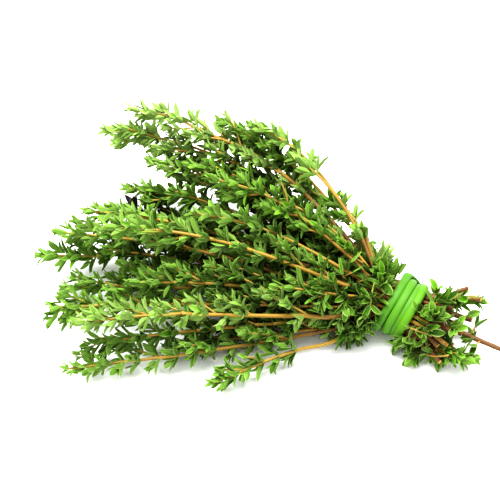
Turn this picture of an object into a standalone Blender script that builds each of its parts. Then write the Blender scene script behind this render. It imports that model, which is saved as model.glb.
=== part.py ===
"""A tied bunch of thyme, lying on a table.

Leafy sprigs fan out from a green rubber band that is wound round their stems.
+X runs along the bunch towards the cut ends, +Y across it and +Z up, and the
bunch rests on z = 0. Each sprig is one solid, with its stem, its side shoots and
its leaves grown together. The sizes below are in millimetres, and become metres
where the solids are made.
"""

import math
import random
from collections import namedtuple

import bmesh
import bpy
import numpy as np
from mathutils import Matrix, Vector
from mathutils.bvhtree import BVHTree

MM = 0.001

# The middle of the tie, which is chosen so that the bunch lies centred on the origin.
TIE_X = 57.3
TIE_Y = 5.9
TIE_YAW = math.radians(-12)

# The tie: an oval bundle of stems inside a flat rubber band.
TIE_HALF_WIDTH = 11.9
TIE_HALF_HEIGHT = 9.9
BAND_TURNS = 3
BAND_WIDTH = 3.85
BAND_THICKNESS = 1.2
BAND_CROWN = 0.35
BAND_PITCH = 4.2
BAND_GAP = 0.35
BAND_STEPS_PER_TURN = 20
BAND_FLAT = 0.35  # how much of its underside is pressed flat by the table
BAND_CROSSING = math.radians(120)  # the stretch at the back where the last turn runs home
BARE_HALF_LENGTH = 10.0  # no leaves grow this near to the middle of the tie
TIE_HEIGHT = TIE_HALF_HEIGHT + BAND_CROWN + BAND_THICKNESS - BAND_FLAT

# Stems.
STEM_TIP_RADIUS = 0.45
STEM_BASE_RADIUS = 0.95
STEM_FULL_AT = 120.0  # distance from the tip at which a stem has its full radius
STATION_SPACING = 12.0  # between the places along X where stems are laid beside each other
TIE_CLEARANCE = 2.75  # between stem centres where the band holds them
FAN_CLEARANCE = 8.0  # between stem centres out in the fan
FAN_CLEAR_AT = 50.0
STEM_FLOOR = 2.6
FAN_FLOOR = 4.2
SLOT_SPREAD = 28.0  # how far a stem's place in the tie follows the way the sprig leans
SETTLING_ROUNDS = 160

# Leaves, which stand in crossed pairs. A pair's number counts from the tip.
LEAF_LENGTH = 8.6
LEAF_SLENDERNESS = 0.36
LEAF_THICKNESS = 0.75
LEAF_OUTLINE_POINTS = 4
FIRST_PAIR = 1.0
PAIR_SPACING = 3.0
PAIR_SPACING_GROWTH = 0.8
PAIR_SPACING_MOST = 8.2
LEAF_CLEARANCE = 0.3
LEAF_TRIES = ((0, 1.0), (24, 1.0), (-24, 1.0), (0, 0.55), (45, 0.7), (-45, 0.7), (20, 0.3), (-20, 0.3))

LEAF_GREEN = (0.14, 0.32, 0.04)
BAND_GREEN = (0.18, 0.55, 0.03)

Sprig = namedtuple("Sprig", "tip bow end shoots", defaults=((),))
Shoot = namedtuple("Shoot", "place turn length")

# Each sprig's tip, and how far its middle bows across and up, measured from the middle of
# the tie on the table. end is where its stem is cut. A shoot is placed by its distance
# from the tip, its turn round the stem in degrees, and its length.
SPRIGS = {
    "back_arc": Sprig((-137, 49, 40), (14, 6), 20, (Shoot(52, 60, 16), Shoot(84, 80, 15))),
    "back_low": Sprig((-146, 41, 32), (12, 4), 14),
    "back_inner": Sprig((-124, 36, 25), (8, 3), 30, (Shoot(30, -60, 13),)),
    "back_table": Sprig((-131, 24, 18), (5, 2), 16),
    "back_under": Sprig((-128, 20, 5), (4, 0), 24),
    "back_upright": Sprig((-82, 52, 46), (3, 3), 18),
    "back_short": Sprig((-60, 45, 43), (0, 2), 26),
    "back_middle": Sprig((-98, 54, 39), (7, 3), 32),
    "top_back": Sprig((-91, 19, 43), (4, 6), 22, (Shoot(36, 40, 12),)),
    "top_middle": Sprig((-94, 3, 37), (2, 5), 15),
    "top_front": Sprig((-129, -17, 38), (2, 6), 24, (Shoot(28, -50, 14),)),
    "left_top": Sprig((-141, -1, 27), (1, 4), 28),
    "left_middle": Sprig((-150, -12, 22), (0, 2), 12),
    "left_far": Sprig((-157, -17, 10), (0, 1), 18),
    "left_low": Sprig((-142, -29, 7), (0, 1), 33),
    "left_front": Sprig((-141, -47, 15), (-2, 2), 13),
    "front_long": Sprig((-125, -60, 26), (-3, 6), 20, (Shoot(44, -40, 15), Shoot(166, 200, 13))),
    "front_inner": Sprig((-114, -57, 14), (-2, 2), 10),
    "front_table": Sprig((-126, -71, 8), (-5, 1), 16),
    "front_under": Sprig((-90, -49, 7), (2, 0), 22),
    "front_droop": Sprig((-66, -63, 7), (8, 2), 15, (Shoot(24, 10, 11),)),
    "fill_back": Sprig((-105, 32, 33), (6, 4), 12),
    "fill_centre": Sprig((-118, 8, 18), (2, 2), 46, (Shoot(140, 60, 12),)),
    "fill_front": Sprig((-110, -32, 25), (0, 3), 18),
    "fill_low": Sprig((-115, -12, 9), (0, 0), 25),
    "fill_short": Sprig((-72, -32, 22), (0, 2), 24, (Shoot(96, -60, 12),)),
    "fill_under": Sprig((-78, -22, 8), (0, 0), 14),
    "fill_high": Sprig((-62, 24, 34), (2, 3), 12),
    "fill_deep": Sprig((-70, 14, 14), (2, 0), 28),
    "fill_near": Sprig((-50, -20, 30), (0, 2), 20),
    "turned_low": Sprig((22, -22, 5), (0, 1), -22),
    "turned_front": Sprig((35, -15, 7), (0, 1), -26),
    "turned_back": Sprig((31, 10, 17), (0, 1), -30),
}


def clear_scene():
    for obj in list(bpy.data.objects):
        bpy.data.objects.remove(obj, do_unlink=True)


def new_collection(name, hidden=False):
    collection = bpy.data.collections.new(name)
    collection.hide_render = hidden
    bpy.context.scene.collection.children.link(collection)
    return collection


def new_material(name, colour, roughness):
    material = bpy.data.materials.new(name)
    material.use_nodes = True
    shader = material.node_tree.nodes["Principled BSDF"]
    shader.inputs["Base Color"].default_value = (*colour, 1)
    shader.inputs["Roughness"].default_value = roughness
    shader.inputs["Metallic"].default_value = 0
    return material


def mesh_object(name, mesh, collection):
    obj = bpy.data.objects.new(name, mesh)
    collection.objects.link(obj)
    return obj


def apply_modifiers(obj):
    graph = bpy.context.evaluated_depsgraph_get()
    evaluated = obj.evaluated_get(graph)
    mesh = bpy.data.meshes.new_from_object(evaluated)
    obj.modifiers.clear()
    obj.data = mesh


# --- Where the stems run ---


def straight_run(sprig, slot, stations):
    """Across and up positions of a stem at each station, if nothing were in its way."""
    tip_x, tip_y, tip_z = sprig.tip
    share = np.clip(stations / tip_x, 0, 1.05)
    hump = 4 * share * (1 - np.clip(share, 0, 1))
    tail = np.clip(-stations * np.sign(tip_x), 0, None)
    across = slot[0] * (1 + tail / 150) + (tip_y - slot[0]) * share + sprig.bow[0] * hump
    across += tie_line(stations) * (1 - np.clip(share, 0, 1))
    up = slot[1] + (tip_z - slot[1]) * share + sprig.bow[1] * hump
    up += (slot[1] - TIE_HEIGHT - 6) * tail / 90
    return np.stack([across, up], axis=1)


def tie_line(stations):
    """How far across the middle of the bundle lies, since the tie is turned a little."""
    return np.tan(TIE_YAW) * stations


def clearance_at(stations):
    share = np.clip((np.abs(stations) - STATION_SPACING) / FAN_CLEAR_AT, 0, 1)
    share *= np.where(stations > 0, 0.4, 1)
    return TIE_CLEARANCE + (FAN_CLEARANCE - TIE_CLEARANCE) * share


def push_apart(places, present, clearance):
    """Moves stems away from each other at each station, where they are too close."""
    gaps = places[:, None] - places[None]
    distance = np.linalg.norm(gaps, axis=3) + 1e-6
    lack = np.clip(clearance[None, None] - distance, 0, None)
    lack *= present[:, None] & present[None]
    lack[np.arange(len(places)), np.arange(len(places))] = 0
    return (gaps / distance[..., None] * lack[..., None]).sum(axis=1) * 0.25


def hold_in_tie(places, stations):
    """Keeps stems inside the band, and off the table."""
    reach_y = TIE_HALF_WIDTH - STEM_BASE_RADIUS - BAND_GAP
    reach_z = TIE_HALF_HEIGHT - STEM_BASE_RADIUS - BAND_GAP
    middle = np.stack([tie_line(stations), np.full(len(stations), TIE_HEIGHT)], axis=1)
    offset = (places - middle) / [reach_y, reach_z]
    distance = np.linalg.norm(offset, axis=2)
    inside = np.abs(stations) <= STATION_SPACING
    shrink = np.where(inside[None] & (distance > 1), 1 / distance, 1)
    held = offset * shrink[..., None] * [reach_y, reach_z] + middle
    fan = np.clip((np.abs(stations) - STATION_SPACING) / 30, 0, 1)
    floor = STEM_FLOOR + (FAN_FLOOR - STEM_FLOOR) * fan
    held[..., 1] = np.maximum(held[..., 1], floor[None])
    return held


def settle_stems():
    """The points of every stem, from its tip to its cut end, once they lie beside each other."""
    sprigs = list(SPRIGS.values())
    tips = np.array([s.tip for s in sprigs], float)
    ends = np.array([s.end for s in sprigs], float)
    low = math.floor(min(tips[:, 0].min(), ends.min()) / STATION_SPACING)
    high = math.ceil(max(tips[:, 0].max(), ends.max()) / STATION_SPACING)
    stations = np.arange(low, high + 1) * STATION_SPACING
    leaning = (tips[:, 1:] - [0, TIE_HEIGHT + 6]) / np.abs(tips[:, :1])
    slots = leaning * SLOT_SPREAD + [0, TIE_HEIGHT]
    places = np.stack([straight_run(s, slot, stations) for s, slot in zip(sprigs, slots)])
    aims = places.copy()
    first = np.minimum(tips[:, 0], ends)[:, None] - STATION_SPACING
    last = np.maximum(tips[:, 0], ends)[:, None] + STATION_SPACING
    present = (stations[None] >= first) & (stations[None] <= last)
    clearance = clearance_at(stations)
    homing = 0.1 * np.clip(stations[None] / tips[:, :1], 0, 1) ** 2
    for count in range(SETTLING_ROUNDS):
        middles = (places[:, :-1] + places[:, 1:]) / 2
        push = push_apart(middles, present[:, :-1] & present[:, 1:], clearance[:-1])
        places += push_apart(places, present, clearance)
        places[:, :-1] += push / 2
        places[:, 1:] += push / 2
        places += (aims - places) * homing[..., None]
        if count < SETTLING_ROUNDS * 0.9:
            middle = (places[:, :-2] + places[:, 2:]) / 2
            places[:, 1:-1] += (middle - places[:, 1:-1]) * 0.6
        places = hold_in_tie(places, stations)
    return [stem_points(s, stations, place) for s, place in zip(sprigs, places)]


def stem_points(sprig, stations, place):
    low, high = sorted((sprig.tip[0], sprig.end))
    between = stations[(stations > low + 3) & (stations < high - 3)]
    along = np.array([low, *between, high], float)
    across = np.interp(along, stations, place[:, 0])
    up = np.interp(along, stations, place[:, 1])
    points = [Vector(p) for p in zip(along + TIE_X, across + TIE_Y, up)]
    return points if low == sprig.tip[0] else points[::-1]


def stem_radius(distance):
    share = min(distance / STEM_FULL_AT, 1)
    return STEM_TIP_RADIUS + (STEM_BASE_RADIUS - STEM_TIP_RADIUS) * share


def distances_along(points):
    total = [0.0]
    for a, b in zip(points, points[1:]):
        total.append(total[-1] + (b - a).length)
    return total


def place_on(points, distance):
    """The point at a distance from the tip, and the direction that leads back to the tip."""
    for a, b in zip(points, points[1:]):
        step = (b - a).length
        if distance <= step or b is points[-1]:
            return a.lerp(b, distance / step), (a - b).normalized()
        distance -= step


# --- Solids ---


def tube(points, radii, collection):
    """A four-sided stem through the points, as a closed mesh."""
    curve = bpy.data.curves.new("stem", "CURVE")
    curve.dimensions = "3D"
    curve.bevel_depth = MM
    curve.bevel_resolution = 0
    curve.use_fill_caps = True
    spline = curve.splines.new("POLY")
    spline.points.add(len(points) - 1)
    for knot, point, radius in zip(spline.points, points, radii):
        knot.co = (*(point * MM), 1)
        knot.radius = radius
    guide = bpy.data.objects.new("stem_curve", curve)
    collection.objects.link(guide)
    graph = bpy.context.evaluated_depsgraph_get()
    mesh = bpy.data.meshes.new_from_object(guide.evaluated_get(graph))
    bpy.data.objects.remove(guide)
    work = bmesh.new()
    work.from_mesh(mesh)
    bmesh.ops.remove_doubles(work, verts=work.verts, dist=1e-6)
    bmesh.ops.recalc_face_normals(work, faces=work.faces)
    work.to_mesh(mesh)
    work.free()
    return mesh


def leaf_mesh(length, width, thickness):
    """A pointed blade along +X from its root, with a ridge above and below."""
    work = bmesh.new()
    bmesh.ops.create_uvsphere(work, u_segments=LEAF_OUTLINE_POINTS, v_segments=2, radius=1)
    bmesh.ops.scale(work, verts=work.verts, vec=Vector((length, width, thickness)) * MM / 2)
    bmesh.ops.translate(work, verts=work.verts, vec=Vector((length * MM / 2, 0, 0)))
    mesh = bpy.data.meshes.new("leaf")
    work.to_mesh(mesh)
    work.free()
    return mesh


def leaf_matrix(root, forward, outward, angle):
    """Turns a blade so that it leaves the root at an angle from forward, towards outward."""
    along = (forward * math.cos(angle) + outward * math.sin(angle)).normalized()
    side = forward.cross(outward).normalized()
    face = along.cross(side)
    turn = Matrix((along, side, face)).transposed().to_4x4()
    return Matrix.Translation(root * MM) @ turn


def lift_off_table(matrix, points):
    """Turns a blade up about its root until no point of it is under the table."""
    root = matrix.translation
    for _ in range(6):
        lowest = min((matrix @ p for p in points), key=lambda p: p.z)
        if lowest.z >= 0:
            return matrix
        reach = Vector((lowest.x - root.x, lowest.y - root.y, 0))
        drop = math.atan2(root.z - lowest.z, reach.length)
        rise = drop - math.asin(min(1, root.z / (lowest - root).length))
        axis = Vector((0, 0, 1)).cross(reach).normalized()
        turn = Matrix.Rotation(-rise - 1e-5, 4, axis)
        matrix = Matrix.Translation(root) @ turn @ Matrix.Translation(-root) @ matrix
    return None


def tree_of(meshes):
    """One search tree of several meshes, given with the matrices that place them."""
    points, faces = [], []
    for mesh, matrix in meshes:
        start = len(points)
        points += [matrix @ v.co for v in mesh.vertices]
        faces += [[start + i for i in p.vertices] for p in mesh.polygons]
    return BVHTree.FromPolygons(points, faces)


def pairs_of(length, first=FIRST_PAIR):
    """Distances from the tip of a stem to its pairs of leaves, with each pair's number."""
    distance, number = first, 0
    while distance < length - 4:
        yield number, distance
        distance += min(PAIR_SPACING + PAIR_SPACING_GROWTH * number, PAIR_SPACING_MOST)
        number += 1


def stands_in_solid(number):
    """The solids carry the pairs at the tip, and then every second one up to the tie."""
    return number < 2 or number % 2 == 0


def leaf_size(number, distance):
    young = min(1, 0.62 + 0.14 * number)
    old = 1 - 0.25 * min(1, distance / 150)
    return LEAF_LENGTH * young * old


def grow_leaves(points, seed, obstacles):
    """Blades for a stem, each as (mesh, matrix), turned or folded clear of the obstacles."""
    found = []
    length = distances_along(points)[-1]
    start_turn = math.radians(47 * seed)
    for number, distance in pairs_of(length):
        root, forward = place_on(points, distance)
        past_tie = root.x > TIE_X
        if abs(root.x - TIE_X) < BARE_HALF_LENGTH or not (past_tie or stands_in_solid(number)):
            continue
        draw = random.Random(1000 * seed + number)
        size = leaf_size(number, distance) * draw.uniform(0.9, 1.1)
        spread = math.radians(min(58, 26 + 6 * number) + draw.uniform(-7, 7))
        turn = start_turn + number * math.pi / 2 + draw.uniform(-0.25, 0.25)
        mesh = leaf_mesh(size, size * LEAF_SLENDERNESS, LEAF_THICKNESS)
        margin = size * 0.5 + LEAF_CLEARANCE
        grown = leaf_mesh(size + LEAF_CLEARANCE, 2 * margin * LEAF_SLENDERNESS + 0.3,
                          LEAF_THICKNESS + 2 * LEAF_CLEARANCE)
        side = forward.orthogonal().normalized()
        for half in (0, math.pi):
            for swing, fold in LEAF_TRIES:
                outward = Matrix.Rotation(turn + half + math.radians(swing), 3, forward) @ side
                matrix = leaf_matrix(root, forward, outward, spread * fold)
                matrix = lift_off_table(matrix, [v.co for v in mesh.vertices])
                if matrix and not any(tree_of([(grown, matrix)]).overlap(t) for t in obstacles):
                    found.append((mesh, matrix))
                    break
    return found


def shoot_points(points, shoot, seed):
    """The points of a side shoot, from its tip to its root inside the stem."""
    root, forward = place_on(points, shoot.place)
    outward = Matrix.Rotation(math.radians(shoot.turn), 3, forward) @ Vector((0, 0, 1))
    outward = (outward - forward * outward.dot(forward)).normalized()
    reach = forward * 0.75 + outward * 0.65
    tip = root + reach * shoot.length
    bend = root + reach * shoot.length * 0.5 + outward * shoot.length * 0.08
    return [tip, bend, root]


def build_sprigs(collection):
    stems = settle_stems()
    identity = Matrix.Identity(4)
    tubes = []
    for points in stems:
        radii = [stem_radius(d) for d in distances_along(points)]
        tubes.append((tube(points, radii, collection), identity))
    stem_trees = [tree_of([t]) for t in tubes]
    leaf_trees = []
    for i, (name, sprig) in enumerate(SPRIGS.items()):
        obstacles = leaf_trees + [t for k, t in enumerate(stem_trees) if k != i]
        near = [t for t in obstacles if t is not None]
        pieces = []
        for k, shoot in enumerate(sprig.shoots):
            side = shoot_points(stems[i], shoot, k)
            twig = (tube(side, [0.4, 0.45, 0.5], collection), identity)
            if not any(tree_of([twig]).overlap(t) for t in near):
                pieces.append(twig)
                pieces += grow_leaves(side[:-1], 100 + 10 * i + k, near)
        pieces += grow_leaves(stems[i], i, near)
        leaf_trees.append(tree_of(pieces))
        shade = random.Random(i).uniform(0.8, 1.2)
        green = new_material(name + "_leaves", [shade * part for part in LEAF_GREEN], 0.55)
        fuse(name, tubes[i][0], pieces, collection, green)


def fuse(name, stem, pieces, collection, material):
    """One closed solid of a stem and everything that grows from it."""
    sprig = mesh_object(name, stem, collection)
    grown = new_collection(name + "_growth", hidden=True)
    for mesh, matrix in pieces:
        obj = mesh_object(name + "_piece", mesh, grown)
        obj.matrix_world = matrix
    union = sprig.modifiers.new("union", "BOOLEAN")
    union.operation = "UNION"
    union.operand_type = "COLLECTION"
    union.collection = grown
    union.solver = "MANIFOLD"
    bpy.context.view_layer.update()
    apply_modifiers(sprig)
    for obj in list(grown.objects):
        bpy.data.objects.remove(obj)
    bpy.data.collections.remove(grown)
    sprig.data.materials.clear()
    sprig.data.materials.append(material)


def band_path():
    """The middle line of the band's inner face: turns side by side, and a crossing at the back."""
    steps = BAND_TURNS * BAND_STEPS_PER_TURN
    sweep = BAND_TURNS * 2 * math.pi
    wound = sweep - BAND_CROSSING
    for step in range(steps):
        angle = sweep * step / steps
        if angle <= wound:
            along, lift = angle / wound, 0
        else:
            share = (angle - wound) / BAND_CROSSING
            along = 1 - smooth((share - 0.15) / 0.7)
            lift = smooth(share / 0.25) * smooth((1 - share) / 0.25)
        x = (along - 0.5) * wound / (2 * math.pi) * BAND_PITCH
        out = lift * (BAND_THICKNESS + BAND_CROWN + BAND_GAP)
        turn = angle + BAND_CROSSING / 2
        yield Vector((x, (TIE_HALF_WIDTH + out) * math.cos(turn),
                      TIE_HEIGHT + (TIE_HALF_HEIGHT + out) * math.sin(turn)))


def smooth(share):
    share = max(0, min(1, share))
    return share * share * (3 - 2 * share)


def build_band(collection, cutters):
    work = bmesh.new()
    loop = [work.verts.new(p * MM) for p in band_path()]
    edges = [work.edges.new(pair) for pair in zip(loop, loop[1:] + loop[:1])]
    bmesh.ops.translate(work, verts=loop, vec=Vector((-BAND_WIDTH / 2 * MM, 0, 0)))
    middle = Vector((0, 0, TIE_HEIGHT * MM))
    for crown in (1, -1):
        made = bmesh.ops.extrude_edge_only(work, edges=edges)["geom"]
        verts = [g for g in made if isinstance(g, bmesh.types.BMVert)]
        edges = [g for g in made if isinstance(g, bmesh.types.BMEdge)
                 and all(v in verts for v in g.verts)]
        bmesh.ops.translate(work, verts=verts, vec=Vector((BAND_WIDTH / 2 * MM, 0, 0)))
        for vert in verts:
            out = vert.co - middle
            out.x = 0
            vert.co += out.normalized() * crown * BAND_CROWN * MM
    bmesh.ops.recalc_face_normals(work, faces=work.faces)
    outwards = faces_outwards(work, middle)
    bmesh.ops.transform(work, matrix=Matrix.Rotation(TIE_YAW, 4, "Z"), verts=work.verts)
    bmesh.ops.translate(work, verts=work.verts, vec=Vector((TIE_X, TIE_Y, 0)) * MM)
    mesh = bpy.data.meshes.new("rubber_band")
    work.to_mesh(mesh)
    work.free()
    band = mesh_object("rubber_band", mesh, collection)
    shell = band.modifiers.new("thickness", "SOLIDIFY")
    shell.thickness = BAND_THICKNESS * MM
    shell.offset = 1 if outwards else -1
    cutter = table_cutter(cutters)
    flat = band.modifiers.new("flat underside", "BOOLEAN")
    flat.operation = "DIFFERENCE"
    flat.object = cutter
    mesh.materials.append(new_material("green_rubber", BAND_GREEN, 0.45))


def faces_outwards(work, middle):
    work.faces.ensure_lookup_table()
    first = work.faces[0]
    out = first.calc_center_median() - middle
    out.x = 0
    return first.normal.dot(out) > 0


def table_cutter(cutters):
    depth = 4 * MM
    work = bmesh.new()
    bmesh.ops.create_cube(work, size=1)
    bmesh.ops.scale(work, verts=work.verts, vec=Vector((40 * MM, 40 * MM, depth)))
    place = Vector((TIE_X * MM, TIE_Y * MM, -depth / 2))
    bmesh.ops.translate(work, verts=work.verts, vec=place)
    mesh = bpy.data.meshes.new("table_cutter")
    work.to_mesh(mesh)
    work.free()
    cutter = mesh_object("table_cutter", mesh, cutters)
    cutter.hide_render = True
    cutter.display_type = "WIRE"
    return cutter


def main():
    clear_scene()
    bunch = new_collection("thyme_bunch")
    cutters = new_collection("cutters", hidden=True)
    build_band(bunch, cutters)
    build_sprigs(bunch)


main()
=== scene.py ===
import math
import random

import bmesh
import bpy
import numpy as np
from mathutils import Matrix, Vector, noise
from mathutils.bvhtree import BVHTree


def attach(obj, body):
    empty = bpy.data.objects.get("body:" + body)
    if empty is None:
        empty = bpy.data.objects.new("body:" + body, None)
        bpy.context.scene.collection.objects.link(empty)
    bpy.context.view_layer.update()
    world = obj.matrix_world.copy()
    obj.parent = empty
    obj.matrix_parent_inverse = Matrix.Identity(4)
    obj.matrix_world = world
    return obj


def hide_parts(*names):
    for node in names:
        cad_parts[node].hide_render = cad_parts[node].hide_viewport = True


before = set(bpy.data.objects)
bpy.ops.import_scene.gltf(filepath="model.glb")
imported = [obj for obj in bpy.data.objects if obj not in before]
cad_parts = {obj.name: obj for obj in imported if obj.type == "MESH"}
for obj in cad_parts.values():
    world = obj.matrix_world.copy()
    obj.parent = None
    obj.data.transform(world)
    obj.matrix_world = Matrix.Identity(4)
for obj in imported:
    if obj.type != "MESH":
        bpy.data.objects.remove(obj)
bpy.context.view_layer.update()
print("frame loaded,", len(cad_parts), "nodes")

mm = 0.001


def toLinear(hexColour):
    # an sRGB colour as the values that a shader takes
    parts = [int(hexColour[i:i + 2], 16) / 255 for i in (1, 3, 5)]
    return (*[c / 12.92 if c <= 0.04045 else ((c + 0.055) / 1.055) ** 2.4 for c in parts], 1)


def newMaterial(name):
    mat = bpy.data.materials.new(name)
    mat.use_nodes = True
    return mat, mat.node_tree, mat.node_tree.nodes["Principled BSDF"]


def addNode(tree, kind, settings=None, inputs=None, links=None):
    # kind is the type after ShaderNode, settings are the node's own, inputs are values and
    # links are other nodes' outputs
    node = tree.nodes.new("ShaderNode" + kind)
    for key, value in (settings or {}).items():
        setattr(node, key, value)
    for key, value in (inputs or {}).items():
        node.inputs[key].default_value = value
    for key, output in (links or {}).items():
        tree.links.new(output, node.inputs[key])
    return node


def finishPiece(name, bm, mat, smooth=True):
    # turns a bmesh into an object at the origin
    mesh = bpy.data.meshes.new(name)
    bm.to_mesh(mesh)
    bm.free()
    mesh.polygons.foreach_set("use_smooth", [smooth] * len(mesh.polygons))
    mesh.materials.append(mat)
    obj = bpy.data.objects.new(name, mesh)
    bpy.context.collection.objects.link(obj)
    return obj


def smoothStep(t):
    t = max(0, min(1, t))
    return t * t * (3 - 2 * t)


# the middle and the half sizes of the bundle of stems in the band, in millimetres
tie = {
    "x": 57.3, "y": 5.9, "yaw": math.radians(-12),
    "halfWidth": 11.9, "halfHeight": 9.9, "height": 11.1,
}
tieMiddle = Vector((tie["x"], tie["y"], 0))

# tip from the middle of the tie on the table, middle's bow across and up, where the stem is
# cut, and side shoots as distance from the tip, turn round the stem and length
sprigs = {
    "back_arc": ((-137, 49, 40), (14, 6), 20, ((52, 60, 16), (84, 80, 15))),
    "back_low": ((-146, 41, 32), (12, 4), 14, ()),
    "back_inner": ((-124, 36, 25), (8, 3), 30, ((30, -60, 13),)),
    "back_table": ((-131, 24, 18), (5, 2), 16, ()),
    "back_under": ((-128, 20, 5), (4, 0), 24, ()),
    "back_upright": ((-82, 52, 46), (3, 3), 18, ()),
    "back_short": ((-60, 45, 43), (0, 2), 26, ()),
    "back_middle": ((-98, 54, 39), (7, 3), 32, ()),
    "top_back": ((-91, 19, 43), (4, 6), 22, ((36, 40, 12),)),
    "top_middle": ((-94, 3, 37), (2, 5), 15, ()),
    "top_front": ((-129, -17, 38), (2, 6), 24, ((28, -50, 14),)),
    "left_top": ((-141, -1, 27), (1, 4), 28, ()),
    "left_middle": ((-150, -12, 22), (0, 2), 12, ()),
    "left_far": ((-157, -17, 10), (0, 1), 18, ()),
    "left_low": ((-142, -29, 7), (0, 1), 33, ()),
    "left_front": ((-141, -47, 15), (-2, 2), 13, ()),
    "front_long": ((-125, -60, 26), (-3, 6), 20, ((44, -40, 15), (166, 200, 13))),
    "front_inner": ((-114, -57, 14), (-2, 2), 10, ()),
    "front_table": ((-126, -71, 8), (-5, 1), 16, ()),
    "front_under": ((-90, -49, 7), (2, 0), 22, ()),
    "front_droop": ((-66, -63, 7), (8, 2), 15, ((24, 10, 11),)),
    "fill_back": ((-105, 32, 33), (6, 4), 12, ()),
    "fill_centre": ((-118, 8, 18), (2, 2), 46, ((140, 60, 12),)),
    "fill_front": ((-110, -32, 25), (0, 3), 18, ()),
    "fill_low": ((-115, -12, 9), (0, 0), 25, ()),
    "fill_short": ((-72, -32, 22), (0, 2), 24, ((96, -60, 12),)),
    "fill_under": ((-78, -22, 8), (0, 0), 14, ()),
    "fill_high": ((-62, 24, 34), (2, 3), 12, ()),
    "fill_deep": ((-70, 14, 14), (2, 0), 28, ()),
    "fill_near": ((-50, -20, 30), (0, 2), 20, ()),
    "turned_low": ((22, -22, 5), (0, 1), -22, ()),
    "turned_front": ((35, -15, 7), (0, 1), -26, ()),
    "turned_back": ((31, 10, 17), (0, 1), -30, ()),
}

# painted shade and light per sprig: how much darker a sprig's leaves are where it lies low in
# the bunch, and, as negative values, how much brighter at the top and back, with nothing over it
paintedSprigShade = {
    "left_far": 0.1, "left_low": 0.3, "left_top": -0.2, "back_under": 0.45, "back_table": 0.2,
    "back_arc": -0.7, "back_low": -0.6, "back_inner": -0.4, "back_upright": -0.5,
    "back_short": -0.4, "back_middle": -0.3, "front_inner": 0.25, "front_table": 0.1,
    "front_droop": 0.1, "front_under": 0.5, "fill_centre": 0.4, "fill_low": 0.5, "fill_deep": 0.5,
    "fill_under": 0.5, "fill_front": 0.25, "fill_short": 0.35, "fill_near": 0.1,
    "turned_low": 0.2, "turned_front": 0.0, "turned_back": 0.2,
}
# how far from its tip a sprig's leaves are near-black
nearBlackTip = {"back_under": 17.0}
# how much pale colour a sprig's leaves have: partly their own pale bloom, and partly painted
# light, strongest on the sprigs at the back
paleBloomAndLight = {
    "back_arc": 0.6, "back_low": 0.5, "back_inner": 0.35, "back_upright": 0.3, "back_short": 0.25,
    "left_top": 0.15, "left_middle": 0.1, "front_long": 0.3, "top_front": 0.1,
    "front_table": 0.1, "top_middle": 0.1,
}
# how much browner a sprig's stem is
browner = {
    "back_upright": 0.225, "back_short": 0.275, "back_arc": 0.15, "back_low": 0.125,
    "top_back": 0.05,
}
# how far apart the side branches stand, compared with the other sprigs
spacious = {
    "front_droop": 3.0, "front_table": 2.0, "back_upright": 1.0, "back_short": 1.0,
    "left_top": 1.6, "back_table": 1.5, "back_middle": 0.5, "fill_back": 0.5, "fill_high": 0.5,
    "back_arc": 0.9, "back_low": 0.8, "back_inner": 0.7, "top_back": 0.5, "left_far": 0.7,
    "left_low": 0.7, "left_front": 0.8, "front_inner": 0.7,
}
# the share of leaves and side branches lost near the band, where the wood is oldest
worn = {
    "back_upright": 0.65, "back_short": 0.7, "back_middle": 0.5, "back_arc": 0.55,
    "back_low": 0.5, "back_inner": 0.4, "fill_high": 0.4, "top_back": 0.5, "top_middle": 0.45,
    "top_front": 0.45, "fill_front": 0.3, "front_long": 0.4, "front_inner": 0.4,
    "front_table": 0.4, "left_front": 0.3, "front_droop": 0.65, "front_under": 0.4,
}

# how the stems are laid beside each other, by the same rule as in the solids
lay = {
    "station": 12.0, "tieClearance": 2.75, "fanClearance": 8.0, "fanClearAt": 50.0,
    "stemFloor": 2.6, "fanFloor": 4.2, "fanRun": 30.0, "slotSpread": 28.0, "level": 6.0,
    "pastTip": 1.05, "tailSpread": 150.0, "tailDrop": 90.0, "tailClearance": 0.4, "endGap": 3.0,
    "rounds": 160, "push": 0.25, "homing": 0.1, "smoothing": 0.6, "smoothedShare": 0.9,
    "stemRadius": 0.95, "bandGap": 0.35,
}


def tieLine(stations):
    # the line through the tie, which is turned a little on the table
    return np.tan(tie["yaw"]) * stations


def straightRun(tip, bow, slot, stations):
    # the line from the place in the tie to the tip, with its bow, and on to the cut end
    share = np.clip(stations / tip[0], 0, lay["pastTip"])
    hump = 4 * share * (1 - np.clip(share, 0, 1))
    tail = np.clip(-stations * np.sign(tip[0]), 0, None)
    across = (slot[0] * (1 + tail / lay["tailSpread"]) + (tip[1] - slot[0]) * share
              + bow[0] * hump)
    across += tieLine(stations) * (1 - np.clip(share, 0, 1))
    up = slot[1] + (tip[2] - slot[1]) * share + bow[1] * hump
    up += (slot[1] - tie["height"] - lay["level"]) * tail / lay["tailDrop"]
    return np.stack([across, up], axis=1)


def pushApart(places, present, clearance):
    # how far stems that are too near each other move apart in one round
    gaps = places[:, None] - places[None]
    distance = np.linalg.norm(gaps, axis=3) + 1e-6
    lack = np.clip(clearance[None, None] - distance, 0, None)
    lack *= present[:, None] & present[None]
    lack[np.arange(len(places)), np.arange(len(places))] = 0
    return (gaps / distance[..., None] * lack[..., None]).sum(axis=1) * lay["push"]


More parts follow.
